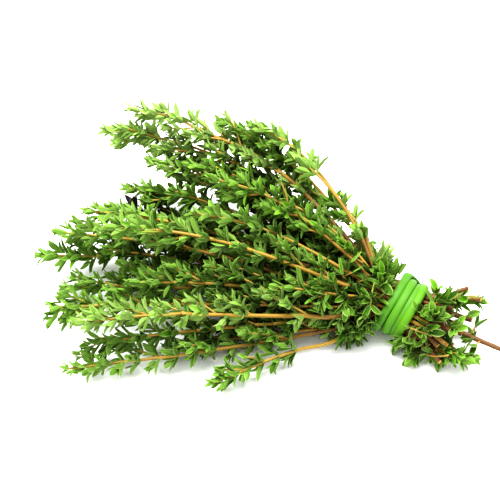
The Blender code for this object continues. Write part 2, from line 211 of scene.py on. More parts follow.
def holdInTie(places, stations):
    # keeps the stems inside the band and off the table
    reach = [tie["halfWidth"] - lay["stemRadius"] - lay["bandGap"],
             tie["halfHeight"] - lay["stemRadius"] - lay["bandGap"]]
    middle = np.stack([tieLine(stations), np.full(len(stations), tie["height"])], axis=1)
    offset = (places - middle) / reach
    distance = np.linalg.norm(offset, axis=2)
    inside = np.abs(stations) <= lay["station"]
    shrink = np.where(inside[None] & (distance > 1), 1 / distance, 1)
    held = offset * shrink[..., None] * reach + middle
    fan = np.clip((np.abs(stations) - lay["station"]) / lay["fanRun"], 0, 1)
    floor = lay["stemFloor"] + (lay["fanFloor"] - lay["stemFloor"]) * fan
    held[..., 1] = np.maximum(held[..., 1], floor[None])
    return held


def settleStems():
    # every stem's points, from its tip to its cut end
    tips = np.array([s[0] for s in sprigs.values()], float)
    bows = [s[1] for s in sprigs.values()]
    ends = np.array([s[2] for s in sprigs.values()], float)
    step = lay["station"]
    low = math.floor(min(tips[:, 0].min(), ends.min()) / step)
    high = math.ceil(max(tips[:, 0].max(), ends.max()) / step)
    stations = np.arange(low, high + 1) * step
    leaning = (tips[:, 1:] - [0, tie["height"] + lay["level"]]) / np.abs(tips[:, :1])
    slots = leaning * lay["slotSpread"] + [0, tie["height"]]
    places = np.stack([straightRun(t, b, s, stations) for t, b, s in zip(tips, bows, slots)])
    aims = places.copy()
    first = np.minimum(tips[:, 0], ends)[:, None] - step
    last = np.maximum(tips[:, 0], ends)[:, None] + step
    present = (stations[None] >= first) & (stations[None] <= last)
    share = np.clip((np.abs(stations) - step) / lay["fanClearAt"], 0, 1)
    share *= np.where(stations > 0, lay["tailClearance"], 1)
    clearance = lay["tieClearance"] + (lay["fanClearance"] - lay["tieClearance"]) * share
    homing = lay["homing"] * np.clip(stations[None] / tips[:, :1], 0, 1) ** 2
    for count in range(lay["rounds"]):
        middles = (places[:, :-1] + places[:, 1:]) / 2
        push = pushApart(middles, present[:, :-1] & present[:, 1:], clearance[:-1])
        places += pushApart(places, present, clearance)
        places[:, :-1] += push / 2
        places[:, 1:] += push / 2
        places += (aims - places) * homing[..., None]
        if count < lay["rounds"] * lay["smoothedShare"]:
            middle = (places[:, :-2] + places[:, 2:]) / 2
            places[:, 1:-1] += (middle - places[:, 1:-1]) * lay["smoothing"]
        places = holdInTie(places, stations)
    return [stemPoints(t, e, stations, p) for t, e, p in zip(tips, ends, places)]


def stemPoints(tip, end, stations, place):
    low, high = sorted((tip[0], end))
    gap = lay["endGap"]
    between = stations[(stations > low + gap) & (stations < high - gap)]
    along = np.array([low, *between, high], float)
    across = np.interp(along, stations, place[:, 0])
    up = np.interp(along, stations, place[:, 1])
    points = [Vector(p) for p in zip(along + tie["x"], across + tie["y"], up)]
    return points if low == tip[0] else points[::-1]


def rounded(points, step=2.2):
    # a smooth line through the points, with a place about every step
    line = []
    padded = [points[0] * 2 - points[1], *points, points[-1] * 2 - points[-2]]
    for a, b, c, d in zip(padded, padded[1:], padded[2:], padded[3:]):
        count = max(1, round((c - b).length / step))
        for i in range(count):
            t = i / count
            line.append(0.5 * ((2 * b) + (c - a) * t + (2 * a - 5 * b + 4 * c - d) * t * t
                               + (3 * b - a - 3 * c + d) * t ** 3))
    return line + [points[-1]]


def lengthsAlong(points):
    total = [0.0]
    for a, b in zip(points, points[1:]):
        total.append(total[-1] + (b - a).length)
    return total


def placeOn(points, distance):
    # the point at a distance from the tip, and the way that leads back to the tip
    for a, b in zip(points, points[1:]):
        step = (b - a).length
        if distance <= step or b is points[-1]:
            return a.lerp(b, distance / step), (a - b).normalized()
        distance -= step


def sideOf(forward, turn):
    # the direction square to a stem, turned round it by an angle
    return Matrix.Rotation(turn, 3, forward) @ forward.orthogonal().normalized()


def leant(forward, side, lean):
    # a direction that leans from one to the other by an angle
    return forward * math.cos(lean) + side * math.sin(lean)


def standing(x, y, z):
    # the rotation that brings the axes to three directions
    return Matrix((x, y, z)).transposed().to_4x4()


stemLines = settleStems()
print("stems laid out")


# stems, in millimetres
stem = {
    "tipRadius": 0.5, "baseRadius": 1.02, "fullAt": 120.0, "thickness": (0.88, 1.08),
    "sides": 8, "squareness": 0.07, "jointSwell": 0.12, "jointReach": 1.1,
    "shootRadius": 0.32, "branchRadius": 0.36, "thickening": 0.02,
    "shootAhead": 0.75, "shootAside": 0.65, "shootBend": 0.08,
    # where the bark is oldest, and the range of the number that gives a stem's tint and turn
    "oldAt": 150.0, "tintRange": 7, "turn": 0.4,
    "cutRim": 0.3, "cutDepth": 0.12,
}

leafRule = {
    "length": 8.6, "firstPair": 1.0, "spacing": 3.0, "spacingGrowth": 0.8, "spacingMost": 8.2,
    "bareBesideBand": 1.0, "bareTail": 38.0, "wornFrom": 52.0, "bareEnd": 4,
    # the size of a pair, as shares, near the tip and on old wood
    "firstSize": 0.62, "sizeGrowth": 0.14, "oldLoss": 0.25, "oldAt": 150, "sizes": (0.9, 1.1),
    # angles in degrees
    "spreadFirst": 26, "spreadGrowth": 6, "spreadMost": 58, "startTurn": 47,
    "spreadVary": 7, "halfVary": 9,
    # in radians
    "turnVary": 0.25, "rollVary": 0.3,
    # pale youth fades out over this distance
    "youngUpTo": 32, "youth": (0.7, 1),
    # side shoots are smaller, sprigs with closer branches than this have fuller tufts, and the
    # leaves of sprigs with more painted shade differ less in shade
    "shootScale": 0.8, "fullBelow": 0.6, "alike": 0.4,
}

# one young shoot that curls over beside the band, from the middle of the tie on the table, with
# its leaves from root to tip and their width, and last a single leaf that stands up near it
curled = {
    "sprig": "fill_near", "radius": (0.35, 0.55), "older": -0.1,
    "facing": (0.2, -0.6, 0.75), "leafAge": (0.5, 0.15),
    "line": ((-9.6, -0.6, 25.4), (-11.0, -0.4, 26.2), (-12.1, -1.9, 25.9), (-12.1, -4.6, 24.8),
             (-11.9, -7.6, 23.0), (-11.7, -9.8, 20.5), (-15.4, -7.7, 17.9)),
    "leaves": (((-9.4, -0.6, 25.3), (-3.4, -4.6, 24.2), 1.4),
               ((-11.7, -9.8, 20.5), (-5.6, -12.9, 19.1), 0.8),
               ((-11.7, -9.8, 20.5), (-13.5, -17.0, 16.6), 0.75),
               ((-11.7, -9.8, 20.5), (-8.3, -9.3, 17.0), 0.9),
               ((-11.7, -9.8, 20.5), (-17.1, -5.1, 25.6), 0.85),
               ((-25.5, -4.0, 28.6), (-28.9, 1.5, 33.8), 0.4)),
}

# more leafy shoots close to the band, among the cut ends, near some tips and along the back,
# each from its root to its tip, from the middle of the tie on the table
placed = {
    "fill_near": (((-12, -4, 18.5), (-8.2, -5.5, 21.5)), ((-14, -5, 16), (-9.5, -9, 17)),
                  ((-12, 0, 20), (-8, 1, 22.5)), ((-20, -1, 22), (-15, 0, 25)),
                  ((-26, 1, 22), (-22, 2, 24.5))),
    "left_low": (((-14, -7, 12), (-11, -12, 13)), ((-18, -9, 11), (-16, -14.5, 11)),
                 ((24, -11.1, 6.7), (27, -15.5, 9))),
    "left_top": (((22, -6.6, 13.3), (26, -9.5, 18)),),
    "top_front": (((21, -9.2, 16.7), (19, -7, 21.5)),),
    "back_inner": (((26, 3.6, 10), (29, 1.5, 15)),),
    "back_arc": (((-120, 52.3, 39.3), (-124, 53.2, 41)), ((-114, 51.4, 38.5), (-117, 53.4, 40)),
                 ((-108, 50.4, 37.6), (-111, 52.8, 39.3)), ((-101, 49.5, 36.9), (-104, 52, 38.8)),
                 ((-94, 48.5, 36), (-97, 51, 38))),
    "back_under": (((-126, 19.5, 5.2), (-128, 21, 12.5)), ((-120, 19, 5.5), (-121, 21.5, 14))),
    "left_front": (((-136, -44.5, 15.1), (-141, -49, 11)),
                   ((-128, -41.5, 15.2), (-134, -47.5, 10.5))),
    "front_inner": (((-113, -55.5, 14.2), (-119, -60, 13)), ((-110, -54, 14.2), (-113, -60, 11)),
                    ((-112, -55, 14.2), (-118, -55, 14))),
    "top_back": (((-28, 5, 24), (-24, 6, 26.5)),),
    "fill_centre": (((31, -5.2, 9.5), (33, -1.5, 13.5)), ((36, -5.9, 9.1), (34.5, -11, 11))),
    "turned_low": (((9, -9.3, 5.3), (1.5, -15, 4.5)), ((14, -12, 5), (10, -19.5, 4))),
    "back_middle": (((13.5, 7.7, 13.8), (12.5, 8.5, 19)), ((28, 8.7, 17.2), (26, 5, 21))),
}

# leafy side branches that fill the room between the sprigs
branch = {
    "seed": 7000, "spacing": 13.0, "spacings": (0.75, 1.25),
    "first": 20.0, "firstVary": 6, "bareEnd": 8,
    "length": (13, 26), "longest": 0.8, "lean": (20, 36), "scale": 0.9, "fresh": 0.7,
    "directions": 14, "nearTie": 14.0, "lowest": 4, "slice": 7,
    "gapLeast": 1.8, "gapMost": 8.0, "inward": 0.2, "inside": 12.0,
}

# short leafy shoots on the outer stems, close to the band on both sides
collar = {
    "seed": 9000, "to": 34.0, "spacing": 3.2, "spacings": (0.7, 1.3), "bareEnd": 2,
    "length": (5, 9), "lean": (25, 105), "twist": 0.6, "outermost": 0.45, "slice": 3,
    "lowest": 2, "besideBand": 0.6,
    "roomLeft": 15.0, "roomGrowth": 0.3, "roomRight": 14.0, "scale": 1.25, "fresh": 0.3,
    # sprigs that have lost more leaves than this have no such shoots
    "wornMost": 0.6,
}

# the edges of the band, which lean, and the room left round it, in millimetres
edges = {"left": 7.2, "right": 6.8, "lean": 3.2, "rightLean": 0.85, "room": 2.5}


def asBandLies(point):
    # how far along and across the bunch a point is from the middle of the band
    x, y = point.x - tie["x"], point.y - tie["y"]
    return (x * math.cos(tie["yaw"]) + y * math.sin(tie["yaw"]),
            y * math.cos(tie["yaw"]) - x * math.sin(tie["yaw"]))


def besideBand(point):
    # how far a point stands off the leaning edges of the band, along the bunch
    along, _ = asBandLies(point)
    lean = edges["lean"] * max(-1, min(1, (point.z - tie["height"]) / tie["halfHeight"]))
    return max(-edges["left"] + lean - along,
               along - edges["right"] - lean * edges["rightLean"])


def offBand(point):
    # whether a point lies further out than the band
    _, across = asBandLies(point)
    return math.hypot(across / (tie["halfWidth"] + edges["room"]),
                      (point.z - tie["height"]) / (tie["halfHeight"] + edges["room"])) > 1


def stemRadius(distance):
    share = min(distance / stem["fullAt"], 1)
    return stem["tipRadius"] + (stem["baseRadius"] - stem["tipRadius"]) * share


def pairsOf(length, bare=leafRule["bareEnd"]):
    # pairs of leaves along a stem, numbered from its tip, up to the bare end
    distance, number = leafRule["firstPair"], 0
    while distance < length - bare:
        yield number, distance
        distance += min(leafRule["spacing"] + leafRule["spacingGrowth"] * number,
                        leafRule["spacingMost"])
        number += 1


def buildStem(bm, line, radii, joints, tintSeed, cut=False, older=0.0):
    # one square-edged stem along a line, from its tip to its cut or rooted end
    fromTip = bm.verts.layers.float["fromTip"]
    tint = bm.verts.layers.float["tint"]
    lengths = lengthsAlong(line)
    made = bmesh.ops.create_circle(bm, cap_ends=True, segments=stem["sides"], radius=1)
    for v in made["verts"]:
        angle = math.atan2(v.co.y, v.co.x)
        v.co *= 1 + stem["squareness"] * math.cos(4 * angle)
    cap = made["verts"][0].link_faces[0]
    turn = stem["turn"] * tintSeed
    before = Matrix.Identity(4)
    side = None
    for i, point in enumerate(line):
        ahead = line[min(i + 1, len(line) - 1)] - line[max(i - 1, 0)]
        ahead.normalize()
        side = side - ahead * side.dot(ahead) if side else ahead.orthogonal()
        side.normalize()
        swell = sum(stem["jointSwell"] * math.exp(-((lengths[i] - j) / stem["jointReach"]) ** 2)
                    for j in joints)
        radius = radii[i] * (1 + swell)
        up = ahead.cross(side)
        across = leant(side, up, turn)
        facing = standing(across, ahead.cross(across), ahead)
        here = Matrix.Translation(point * mm) @ facing @ Matrix.Scale(radius * mm, 4)
        if i:
            cap = bmesh.ops.extrude_discrete_faces(bm, faces=[cap])["faces"][0]
        bmesh.ops.transform(bm, matrix=here @ before.inverted(), verts=cap.verts)
        before = here
        for v in cap.verts:
            v[fromTip] = lengths[i] / stem["oldAt"] + older
            v[tint] = tintSeed % 1
        if i == 0:
            bmesh.ops.contextual_create(bm, geom=cap.verts)
    if cut:
        cap.material_index = 1
        rim = bmesh.ops.inset_individual(bm, faces=[cap], use_even_offset=True,
                                         thickness=radii[-1] * stem["cutRim"] * mm,
                                         depth=-stem["cutDepth"] * mm)["faces"]
        for f in rim:
            f.material_index = 1


# woody thyme stem: dry bark with a fine rough grain, yellow-green where it is young, orange-tan
# further down and brown where it is old
barkLook = {
    "ages": ((0.0, "#8a9038"), (0.2, "#a0833c"), (0.5, "#a38534"), (0.8, "#937429"),
             (1.0, "#6b4a22")),
    "patch": 9.0, "grain": 0.6,
}


def stemMaterial():
    mat, tree, shader = newMaterial("thymeBark")
    age, tint = (addNode(tree, "Attribute", {"attribute_name": name})
                 for name in ("fromTip", "tint"))
    coord = addNode(tree, "TexCoord")
    patches, grain = (addNode(tree, "TexNoise",
                              inputs={"Scale": 1 / (barkLook[size] * mm), "Detail": detail},
                              links={"Vector": coord.outputs["Object"]})
                      for size, detail in (("patch", 3), ("grain", 2)))
    shift = addNode(tree, "Math", {"operation": "MULTIPLY_ADD"}, {1: 0.5, 2: -0.25},
                    {0: patches.outputs["Fac"]})
    tinted = addNode(tree, "Math", {"operation": "MULTIPLY_ADD"}, {1: 0.4},
                     {0: tint.outputs["Fac"], 2: shift.outputs[0]})
    place = addNode(tree, "Math", {"operation": "ADD"},
                    links={0: age.outputs["Fac"], 1: tinted.outputs[0]})
    ramp = addNode(tree, "ValToRGB", links={"Fac": place.outputs[0]})
    elements = ramp.color_ramp.elements
    while len(elements) < len(barkLook["ages"]):
        elements.new(0.5)
    for element, (where, colour) in zip(elements, barkLook["ages"]):
        element.position = where
        element.color = toLinear(colour)
    dark = addNode(tree, "MapRange", inputs={"To Min": 0.7, "To Max": 1.15},
                   links={"Value": grain.outputs["Fac"]})
    colour = addNode(tree, "Mix", {"data_type": "RGBA", "blend_type": "MULTIPLY"},
                     {"Factor": 1.0}, {"A": ramp.outputs["Color"], "B": dark.outputs["Result"]})
    bump = addNode(tree, "Bump", inputs={"Strength": 0.4, "Distance": 0.1 * mm},
                   links={"Height": grain.outputs["Fac"]})
    tree.links.new(colour.outputs["Result"], shader.inputs["Base Color"])
    tree.links.new(bump.outputs["Normal"], shader.inputs["Normal"])
    shader.inputs["Roughness"].default_value = 0.6
    shader.inputs["IOR"].default_value = 1.45
    return mat


# freshly cut thyme wood: pale and dry, with darker fibres
def cutMaterial():
    mat, tree, shader = newMaterial("cutWood")
    coord = addNode(tree, "TexCoord")
    fibre = addNode(tree, "TexNoise", inputs={"Scale": 1 / (0.5 * mm), "Detail": 2},
                    links={"Vector": coord.outputs["Object"]})
    colour = addNode(tree, "Mix", {"data_type": "RGBA"},
                     {"A": toLinear("#b98a3e"), "B": toLinear("#e6c578")},
                     {"Factor": fibre.outputs["Fac"]})
    tree.links.new(colour.outputs["Result"], shader.inputs["Base Color"])
    shader.inputs["Roughness"].default_value = 0.8
    return mat


# the rubber band, in millimetres
band = {
    "turns": 3, "width": 3.85, "thickness": 1.2, "crown": 0.35, "pitch": 4.2, "gap": 0.35,
    "stepsPerTurn": 64, "sides": 16, "roundness": 0.8, "crossing": math.radians(120),
    # how much thicker it stands on top, how its width and place vary, and the curve of the
    # painted light along its turns
    "puff": 0.55, "widthVary": 0.06, "sway": 0.1, "stretchCurve": 1.6,
    # how far each strand is pushed along the bunch where it passes the top and the bottom
    "pushed": (3.4, -4.7, 2.9, -3.9, 4.3, -2.9), "firstPush": math.radians(30),
    # the part of the loop that lies under the others, darker with painted shade
    "underPlace": 2.2, "underLean": 2.4, "underWidth": 3.4, "underThickness": 1.0,
    "underOut": 0.1, "underStrandLight": 0.2,
}


def bandPlace(angle):
    # where the middle line of the band's inner face is, and how far out it stands
    sweep = band["turns"] * 2 * math.pi
    wound = sweep - band["crossing"]
    if angle <= wound:
        along, lift = angle / wound, 0
    else:
        share = (angle - wound) / band["crossing"]
        along = 1 - smoothStep((share - 0.15) / 0.7)
        lift = smoothStep(share / 0.25) * smoothStep((1 - share) / 0.25)
    x = (along - 0.5) * wound / (2 * math.pi) * band["pitch"]
    out = lift * (band["thickness"] + band["crown"] + band["gap"])
    return x, out, angle + band["crossing"] / 2


def pushAt(angle):
    # eased from one top or bottom to the next
    share = (angle - band["firstPush"]) / math.pi
    marks = (band["pushed"][-1], *band["pushed"], band["pushed"][0])
    at = max(0, min(len(marks) - 2, math.floor(share) + 1))
    t = max(0, min(1, share + 1 - at))
    return marks[at] + (marks[at + 1] - marks[at]) * (0.5 - 0.5 * math.cos(math.pi * t))


def strandRing(bm, section, x, inner, thickness, wide, turn, stretch):
    # one cross-section of a strand: flat inside and rounded outside
    layer = bm.verts.layers.float["stretch"]
    ring = []
    for p in section:
        stand = inner + (p.y + 1) / 2 * thickness
        v = bm.verts.new(((x + math.copysign(abs(p.x) ** band["roundness"], p.x) * wide) * mm,
                          (tie["halfWidth"] + stand) * math.cos(turn) * mm,
                          (tie["height"] + (tie["halfHeight"] + stand) * math.sin(turn)) * mm))
        v[layer] = stretch
        ring.append(v)
    return [bm.edges.new(pair) for pair in zip(ring, ring[1:] + ring[:1])]


def buildBand():
    bm = bmesh.new()
    bm.verts.layers.float.new("stretch")
    bmesh.ops.create_circle(bm, segments=band["sides"], radius=1)
    section = [v.co.copy() for v in bm.verts]
    bm.clear()
    bm.verts.layers.float.new("stretch")
    steps = band["turns"] * band["stepsPerTurn"]
    full = band["thickness"] + band["crown"]
    over, under = [], []
    for step in range(steps):
        angle = band["turns"] * 2 * math.pi * step / steps
        x, out, turn = bandPlace(angle)
        uneven = band["widthVary"] * noise.noise(Vector((angle * 0.9, 3.1, 0)))
        wide = band["width"] / 2 * (1 + uneven)
        sway = band["sway"] * noise.noise(Vector((angle * 1.3, 0, 7.7)))
        puff = band["puff"] * (0.55 + 0.45 * math.sin(turn))
        wound = band["turns"] * 2 * math.pi - band["crossing"]
        # painted light: lighter from the first turn to the last, and darker again where the band
        # crosses back
        stretch = angle / wound if angle < wound else 1 - (angle - wound) / band["crossing"]
        stretch **= band["stretchCurve"]
        over.append(strandRing(bm, section, x + sway + pushAt(angle), out, full + puff, wide,
                               turn, stretch))
    for step in range(band["stepsPerTurn"]):
        turn = 2 * math.pi * step / band["stepsPerTurn"]
        x = band["underPlace"] + band["underLean"] * math.sin(turn)
        under.append(strandRing(bm, section, x, band["underOut"], band["underThickness"],
                                band["underWidth"] / 2, turn, band["underStrandLight"]))
    for rings in (over, under):
        for a, b in zip(rings, rings[1:] + rings[:1]):
            bmesh.ops.bridge_loops(bm, edges=a + b)
    bmesh.ops.transform(bm, matrix=Matrix.Rotation(tie["yaw"], 4, "Z"), verts=bm.verts)
    bmesh.ops.translate(bm, vec=tieMiddle * mm, verts=bm.verts)
    for v in bm.verts:
        v.co.z = max(v.co.z, 0)
    bmesh.ops.recalc_face_normals(bm, faces=bm.faces)
    return bm


# moulded natural rubber, dyed green: smooth with a soft gloss, and lighter turn by turn with
# painted light and shade
rubberLook = {"shadedStrand": "#4b7d22", "stretched": "#588912", "patch": 5.0, "grain": 0.35}


def rubberMaterial():
    mat, tree, shader = newMaterial("greenRubber")
    coord = addNode(tree, "TexCoord")
    patches, grain = (addNode(tree, "TexNoise",
                              inputs={"Scale": 1 / (rubberLook[size] * mm), "Detail": detail},
                              links={"Vector": coord.outputs["Object"]})
                      for size, detail in (("patch", 3), ("grain", 2)))
    # painted light and shade along the turns, made patchy by the rubber's own uneven tone
    stretch = addNode(tree, "Attribute", {"attribute_name": "stretch"})
    patchy = addNode(tree, "Math", {"operation": "MULTIPLY_ADD"}, {1: 0.4, 2: -0.2},
                     {0: patches.outputs["Fac"]})
    mixed = addNode(tree, "Math", {"operation": "ADD", "use_clamp": True},
                    links={0: stretch.outputs["Fac"], 1: patchy.outputs[0]})
    colour = addNode(tree, "Mix", {"data_type": "RGBA"},
                     {"A": toLinear(rubberLook["shadedStrand"]), "B": toLinear(rubberLook["stretched"])},
                     {"Factor": mixed.outputs[0]})
    bump = addNode(tree, "Bump", inputs={"Strength": 0.15, "Distance": 0.05 * mm},
                   links={"Height": grain.outputs["Fac"]})
    tree.links.new(colour.outputs["Result"], shader.inputs["Base Color"])
    tree.links.new(bump.outputs["Normal"], shader.inputs["Normal"])
    shader.inputs["Roughness"].default_value = 0.55
    shader.inputs["IOR"].default_value = 1.52
    shader.inputs["Specular IOR Level"].default_value = 0.25
    return mat


bandPiece = finishPiece("tie_band", buildBand(), rubberMaterial())
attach(bandPiece, "root")
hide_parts("rubber_band")
print("band built")


# leaf templates, in leaf lengths, with the crease between two faces in radians
blade = {
    "halfWidth": 0.195, "broad": 0.235, "small": 0.95, "thickness": 0.06,
    "fold": 0.36, "petiole": 0.12, "blunt": 0.6, "widest": 0.95, "rootWidth": 0.03,
    "curlLoss": 0.25, "merge": 0.004, "crease": 0.5,
}


def leafTemplate(name, alongCount, wide, curl, wave):
    # a leaf along +X: folded at the rib, bowed along it and thickest in the middle
    bm = bmesh.new()
    bm.loops.layers.uv.new("leafUv")
    under = bm.faces.layers.float.new("under")
    bmesh.ops.create_grid(bm, x_segments=alongCount, y_segments=2, size=0.5, calc_uvs=True)
    made = bmesh.ops.duplicate(bm, geom=bm.faces[:])["geom"]
    lower = [f for f in made if isinstance(f, bmesh.types.BMFace)]
    deeper = {v for f in lower for v in f.verts}
    bmesh.ops.reverse_faces(bm, faces=lower)
    for f in lower:
        f[under] = 1.0
    for v in bm.verts:
        along, across = v.co.x + 0.5, v.co.y * 2
        along = 0.5 * along + 0.5 * math.sin(math.pi / 2 * along)
        share = min(1, along * (1 - blade["rootWidth"]) + blade["rootWidth"])
        body = math.sin(math.pi * share ** blade["widest"]) ** blade["blunt"]
        half = wide * (blade["petiole"] * (1 - along) + body)
        lift = blade["fold"] * half * abs(across)
        drop = curl * along ** 2 + wave * math.sin(2 * math.pi * along)
        if v in deeper:
            drop += blade["thickness"] * (1 - abs(across)) * (0.4 + 0.6 * body)
        x = along * (1 - blade["curlLoss"] * abs(curl) * along)
        v.co = Vector((x, half * across, lift - drop))
    bmesh.ops.remove_doubles(bm, verts=bm.verts, dist=blade["merge"])
    for e in bm.edges:
        if len(e.link_faces) == 2:
            a, b = e.link_faces
            flat = a.normal.angle(b.normal, 0) < blade["crease"]
            e.smooth = a[under] == b[under] and flat
    mesh = bpy.data.meshes.new(name)
    bm.to_mesh(mesh)
    bm.free()
    return mesh


# each template with its curl and its wave
largeLeaves = [leafTemplate("largeLeaf", 6, blade["halfWidth"], curl, wave)
               for curl, wave in ((0.1, 0.0), (0.2, 0.01), (-0.06, 0.015), (0.03, -0.01))]
broadLeaves = [leafTemplate("broadLeaf", 6, blade["broad"], curl, wave)
               for curl, wave in ((0.08, 0.0), (0.2, 0.01), (-0.05, 0.01))]
smallLeaves = [leafTemplate("smallLeaf", 4, blade["halfWidth"] * blade["small"], curl, 0.0)
               for curl in (0.1, -0.06, 0.22)]
print("leaf templates:", len(largeLeaves[0].polygons), "and",
      len(smallLeaves[0].polygons), "faces")


def leafMatrix(root, forward, outward, angle, length, roll=0.0):
    along = leant(forward, outward, angle).normalized()
    across = forward.cross(outward).normalized()
    face = across.cross(along).normalized()
    if face.dot(forward) < 0:
        across, face = -across, -face
    rolled = standing(along, face.cross(along), face) @ Matrix.Rotation(roll, 4, "X")
    return Matrix.Translation(root * mm) @ rolled @ Matrix.Scale(length * mm, 4)


# turns in degrees, and shares of its angle, that a leaf tries to get clear of the stems
swings = ((0, 1.0), (24, 1.0), (-24, 1.0), (0, 0.55), (45, 0.7), (-45, 0.7), (20, 0.3),
          (-20, 0.3))
# gaps to the table and from a small leaf's rib to the other stems, how many of the swings such
# a leaf tries, and where along its rib the gap is measured
clear = {"table": 0.4 * mm, "stems": 0.9 * mm, "smallSwings": 3, "ribs": (0.4, 0.7, 1)}


def liftOffTable(matrix):
    # turns a leaf up about its root until its tip is not under the table
    root = matrix.translation
    tip = matrix @ Vector((1, 0, 0))
    if tip.z >= clear["table"]:
        return matrix
    reach = Vector((tip.x - root.x, tip.y - root.y, 0))
    if reach.length < 1e-6 or root.z < clear["table"]:
        return None
    away = (tip - root).length
    fall = math.asin(min(1, (root.z - clear["table"]) / away))
    rise = math.atan2(root.z - tip.z, reach.length) - fall
    axis = Vector((0, 0, 1)).cross(reach).normalized()
    turned = Matrix.Translation(root) @ Matrix.Rotation(-rise, 4, axis)
    return turned @ Matrix.Translation(-root) @ matrix


def treeOf(mesh, matrix):
    points = [matrix @ v.co for v in mesh.vertices]
    return BVHTree.FromPolygons(points, [tuple(p.vertices) for p in mesh.polygons])


def isClear(mesh, matrix, others):
    # whether a leaf stays clear of the other stems, by its rib alone where it is small
    if mesh not in smallLeaves:
        return not treeOf(mesh, matrix).overlap(others)
    ribs = (matrix @ Vector((share, 0, 0)) for share in clear["ribs"])
    return all(others.find_nearest(p, clear["stems"])[0] is None for p in ribs)


def placeLeaf(mesh, root, forward, turn, angle, length, roll, others):
    # the leaf's matrix, turned or folded clear of the other stems, or None
    most = clear["smallSwings"] if mesh in smallLeaves else len(swings)
    for swing, fold in swings[:most]:
        outward = sideOf(forward, turn + math.radians(swing))
        matrix = liftOffTable(leafMatrix(root, forward, outward, angle * fold, length, roll))
        if matrix and isClear(mesh, matrix, others):
            return matrix
    return None


def leafSize(number, distance):
    young = min(1, leafRule["firstSize"] + leafRule["sizeGrowth"] * number)
    old = 1 - leafRule["oldLoss"] * min(1, distance / leafRule["oldAt"])
    return leafRule["length"] * young * old


def vary(draw, most):
    # a random amount either way
    return draw.uniform(-most, most)


# the short leafy shoot in a leaf's axil, in the size of that leaf, with tilts in degrees and
# turns in radians
tuft = {
    "length": (0.25, 0.6), "lean": (0.5, 0.85), "turnVary": 0.3, "younger": 0.25,
    "tilts": (50, 36, 20), "tiltVary": 10, "sizes": (0.8, 0.86, 0.7), "sizeShares": (0.85, 1.15),
    "leafTurnVary": 0.35, "rollVary": 0.5,
}


def growTuft(root, forward, turn, lean, size, pairs, youth, draw, others):
    axis = leant(forward, sideOf(forward, turn), lean).normalized()
    length = size * draw.uniform(*tuft["length"])
    leaves = []
    for pair in range(pairs):
        place = root + axis * length * (pair + 1) / pairs
        tilt = math.radians(tuft["tilts"][pair - pairs] + vary(draw, tuft["tiltVary"]))
        reach = size * tuft["sizes"][pair - pairs] * draw.uniform(*tuft["sizeShares"])
        for half in (0, math.pi):
            mesh = draw.choice(smallLeaves)
            around = turn + half + pair * math.pi / 2 + vary(draw, tuft["leafTurnVary"])
            roll = vary(draw, tuft["rollVary"])
            matrix = placeLeaf(mesh, place, axis, around, tilt, reach, roll, others)
            if matrix:
                leaves.append((mesh, matrix, draw.random(), youth))
    return leaves


def isWorn(root, share, seed):
    # whether an old, bare stretch of stem has lost what grew at this place
    near = 0 < tie["x"] - root.x < leafRule["wornFrom"]
    return near and random.Random(seed).random() < share


def growLeaves(line, seed, others, scale=1.0, tuftPairs=2, bare=leafRule["bareEnd"],
               shapes=largeLeaves, fresh=1.0, lost=0.0):
    # every leaf of one stem, as template, matrix, shade and youth
    leaves = []
    length = lengthsAlong(line)[-1] / scale
    startTurn = math.radians(leafRule["startTurn"] * seed)
    for number, distance in pairsOf(length, bare):
        root, forward = placeOn(line, distance * scale)
        inBand = besideBand(root) < leafRule["bareBesideBand"] and not offBand(root)
        if inBand or root.x - tie["x"] > leafRule["bareTail"]:
            continue
        if isWorn(root, lost, 1000 * seed + number):
            continue
        draw = random.Random(1000 * seed + number)
        size = leafSize(number, distance) * draw.uniform(*leafRule["sizes"]) * scale
        spread = min(leafRule["spreadMost"],
                     leafRule["spreadFirst"] + leafRule["spreadGrowth"] * number)
        spread = math.radians(spread + vary(draw, leafRule["spreadVary"]))
        turn = startTurn + number * math.pi / 2 + vary(draw, leafRule["turnVary"])
        youth = max(0, 1 - distance / leafRule["youngUpTo"])
        youth = youth * draw.uniform(*leafRule["youth"]) * fresh
        for half in (0, math.pi):
            mesh = draw.choice(shapes)
            tilt = spread + math.radians(vary(draw, leafRule["halfVary"]))
            roll = vary(draw, leafRule["rollVary"])
            matrix = placeLeaf(mesh, root, forward, turn + half, tilt, size, roll, others)
            if matrix:
                leaves.append((mesh, matrix, draw.random(), youth))
            pairs = min(tuftPairs, (1 + number) // 2)
            aside = turn + half + vary(draw, tuft["turnVary"])
            lean = spread * draw.uniform(*tuft["lean"])
            younger = min(1, youth + tuft["younger"] * draw.random())
            leaves += growTuft(root, forward, aside, lean, size, pairs, younger, draw, others)
    return leaves


